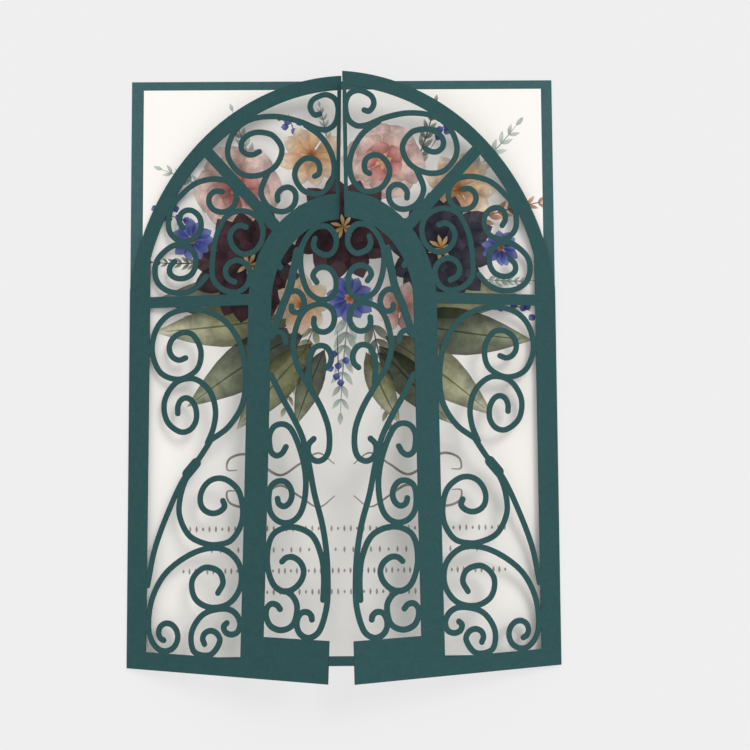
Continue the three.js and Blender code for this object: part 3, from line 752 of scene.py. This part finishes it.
def cardstockTeal():
    # Dyed card stock, 250 g/m2: matt, with a felt of fine fibres, and darker edges where the laser cut
    # it.
    # The inner side, which the flat panel shows, gets paler tints as painted light for the panel lit
    # brighter than the tilted leaves
    # The inner tints are painted light: paler than the outer ones so that the flat panel looks more
    # brightly lit
    tints = {"outer": ("#23484a", "#305454"), "inner": ("#35575a", "#44676a"), "scorched": "#1b3032"}
    cloudWidth = 2.5       # mm
    fibreWidth = 0.25      # mm, coarser than the real 0.03 so that it shows
    material, tree = newMaterial("dyed_cardstock")
    place = addNode(tree, "ShaderNodeTexCoord").outputs["Object"]
    clouds = addNode(tree, "ShaderNodeTexNoise", {
        "Vector": place, "Scale": 1 / (cloudWidth * metre), "Detail": 4, "Roughness": 0.6})
    fibreTurn = addNode(tree, "ShaderNodeMapping", {
        "Vector": place, "Scale": (1, 0.35, 1), "Rotation": (0, 0, 0.4)})
    fibres = addNode(tree, "ShaderNodeTexNoise", {
        "Vector": fibreTurn.outputs["Vector"], "Scale": 1 / (fibreWidth * metre), "Detail": 3,
        "Roughness": 0.7, "Distortion": 0.6})
    blend = addNode(tree, "ShaderNodeMix", {
        "Factor": 0.72, "A": clouds.outputs["Fac"], "B": fibres.outputs["Fac"]})
    ramp = addNode(tree, "ShaderNodeMapRange", {
        "Value": blend.outputs["Result"], "From Min": 0.36, "From Max": 0.64})
    sidesWithPaintedLight = [
        addNode(tree, "ShaderNodeMix", {
            "Factor": ramp.outputs["Result"], "A": rgba(deep), "B": rgba(lifted)}, data_type="RGBA")
        for deep, lifted in (tints["inner"], tints["outer"])]
    # Painted light: faces without outerSide get the paler inner tints
    outerSide = addNode(tree, "ShaderNodeAttribute", attribute_name="outerSide")
    grainAndPaintedLight = addNode(tree, "ShaderNodeMix", {
        "Factor": outerSide.outputs["Fac"], "A": sidesWithPaintedLight[0].outputs["Result"],
        "B": sidesWithPaintedLight[1].outputs["Result"]}, data_type="RGBA")
    cut = addNode(tree, "ShaderNodeAttribute", attribute_name="cutEdge")
    tone = addNode(tree, "ShaderNodeMix", {
        "Factor": cut.outputs["Fac"], "A": grainAndPaintedLight.outputs["Result"],
        "B": rgba(tints["scorched"])}, data_type="RGBA")
    bump = addNode(tree, "ShaderNodeBump", {
        "Height": fibres.outputs["Fac"], "Strength": 0.35, "Distance": 0.03 * metre})
    shader = addNode(tree, "ShaderNodeBsdfPrincipled", {
        "Base Color": tone.outputs["Result"], "Roughness": 0.78, "IOR": 1.45,
        "Specular IOR Level": 0.25, "Normal": bump.outputs["Normal"]})
    addNode(tree, "ShaderNodeOutputMaterial", {"Surface": shader.outputs["BSDF"]})
    return material


def printedCardstock():
    # Uncoated white card stock, 350 g/m2: matt with a fine tooth, and ink that pools unevenly in it
    washWidth = 3.5       # mm
    toothWidth = 0.35     # mm
    material, tree = newMaterial("printed_cardstock")
    place = addNode(tree, "ShaderNodeTexCoord").outputs["Object"]
    ink = addNode(tree, "ShaderNodeAttribute", attribute_name="ink")
    wash = addNode(tree, "ShaderNodeTexNoise", {
        "Vector": place, "Scale": 1 / (washWidth * metre), "Detail": 5, "Roughness": 0.6,
        "Distortion": 0.5})
    tooth = addNode(tree, "ShaderNodeTexNoise", {
        "Vector": place, "Scale": 1 / (toothWidth * metre), "Detail": 2})
    pooled = addNode(tree, "ShaderNodeMapRange", {
        "Value": wash.outputs["Fac"], "From Min": 0.3, "From Max": 0.7, "To Min": 0.72, "To Max": 1.3})
    level = addNode(tree, "ShaderNodeMix", {
        "Factor": ink.outputs["Alpha"], "A": 1.0, "B": pooled.outputs["Result"]})
    toned = addNode(tree, "ShaderNodeVectorMath", {
        0: ink.outputs["Color"], "Scale": level.outputs["Result"]}, operation="SCALE")
    bump = addNode(tree, "ShaderNodeBump", {
        "Height": tooth.outputs["Fac"], "Strength": 0.25, "Distance": 0.02 * metre})
    shader = addNode(tree, "ShaderNodeBsdfPrincipled", {
        "Base Color": toned.outputs["Vector"], "Roughness": 0.85, "IOR": 1.45,
        "Specular IOR Level": 0.3, "Normal": bump.outputs["Normal"]})
    addNode(tree, "ShaderNodeOutputMaterial", {"Surface": shader.outputs["BSDF"]})
    return material


jacket = makeJacket(jacketSheet, cardstockTeal())
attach(jacket, "root")
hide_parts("jacket")
print("jacket:", len(jacket.data.polygons), "triangles")

card = makeCard(cardStock, printedCardstock())
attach(card, "root")
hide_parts("invitation_card")
print("card:", len(card.data.polygons), "triangles")


# Table, light and camera

stageSet = {
    "table": "#efefef",
    "tableSize": 3000,            # mm
    "gap": 0.05,                  # mm below the jacket
    "evenShare": 0.75,
    "sky": 0.77,
    "sun": 1.05,
    "sunSize": 24,                # degrees across
    "sunTilt": (-32, 30, 0),      # degrees about x, y and z
}


def seenRays(tree):
    # 1 for rays from the camera and through gloss and clear things, and 0 for the rest
    rays = addNode(tree, "ShaderNodeLightPath").outputs
    seen = addNode(tree, "ShaderNodeMath", {0: rays["Is Camera Ray"], 1: rays["Is Glossy Ray"]},
                   operation="MAXIMUM")
    return addNode(tree, "ShaderNodeMath", {0: seen.outputs["Value"], 1: rays["Is Transmission Ray"]},
                   operation="MAXIMUM").outputs["Value"]


def makeTable(s):
    # A pale matt table. The camera, gloss and clear things see evenShare of its plain colour
    # mixed in, which keeps the shadows on it light.
    material, tree = newMaterial("pale_table")
    matt = addNode(tree, "ShaderNodeBsdfDiffuse", {"Color": rgba(s["table"])})
    plain = addNode(tree, "ShaderNodeEmission", {"Color": rgba(s["table"]), "Strength": 1.0})
    even = addNode(tree, "ShaderNodeMath", {0: seenRays(tree), 1: s["evenShare"]}, operation="MULTIPLY")
    mixed = addNode(tree, "ShaderNodeMixShader", {
        0: even.outputs["Value"], 1: matt.outputs["BSDF"], 2: plain.outputs["Emission"]})
    addNode(tree, "ShaderNodeOutputMaterial", {"Surface": mixed.outputs["Shader"]})
    reach = s["tableSize"] / 2
    corners = np.column_stack([rectangle(-reach, reach, -reach, reach), np.full(4, -s["gap"])])
    table = meshPiece("table", corners, np.array([[0, 1, 2], [0, 2, 3]]), material)


def makeSky(s):
    # Even white light. What the camera, gloss and clear things see of it is the table's colour.
    world = bpy.data.worlds.new("studio")
    bpy.context.scene.world = world
    world.use_nodes = True
    tree = world.node_tree
    tree.nodes.clear()
    lit = addNode(tree, "ShaderNodeBackground", {"Color": (1, 1, 1, 1), "Strength": s["sky"]})
    shown = addNode(tree, "ShaderNodeBackground", {"Color": rgba(s["table"]), "Strength": 1.0})
    either = addNode(tree, "ShaderNodeMixShader", {
        0: seenRays(tree), 1: lit.outputs["Background"], 2: shown.outputs["Background"]})
    addNode(tree, "ShaderNodeOutputWorld", {"Surface": either.outputs["Shader"]})


def makeSun(s):
    # A broad soft lamp from the upper right
    lamp = bpy.data.lights.new("window_light", "SUN")
    lamp.energy = s["sun"]
    lamp.angle = math.radians(s["sunSize"])
    holder = bpy.data.objects.new("window_light", lamp)
    holder.rotation_euler = [math.radians(angle) for angle in s["sunTilt"]]
    bpy.context.scene.collection.objects.link(holder)


# Where the picture was taken from, fitted to the jacket's edges: mm, radians and share of the frame
viewpoint = {"place": (13.355, -19.884, 336.844), "turn": (0.065, -0.006, -0.007),
             "lens": 51.35, "sensor": 36, "shift": (-0.0232, -0.0176),
             "nearest": 10, "farthest": 10000}


def makeCamera(s):
    lens = bpy.data.cameras.new("camera")
    lens.lens = s["lens"]
    lens.sensor_width = s["sensor"]
    lens.shift_x, lens.shift_y = s["shift"]
    lens.clip_start, lens.clip_end = s["nearest"] * metre, s["farthest"] * metre
    camera = bpy.data.objects.new("camera", lens)
    camera.location = Vector(s["place"]) * metre
    camera.rotation_euler = s["turn"]
    bpy.context.scene.collection.objects.link(camera)
    bpy.context.scene.camera = camera


makeTable(stageSet)
makeSky(stageSet)
makeSun(stageSet)
makeCamera(viewpoint)
bpy.context.scene.view_settings.view_transform = "Standard"
print("stage and camera are set")
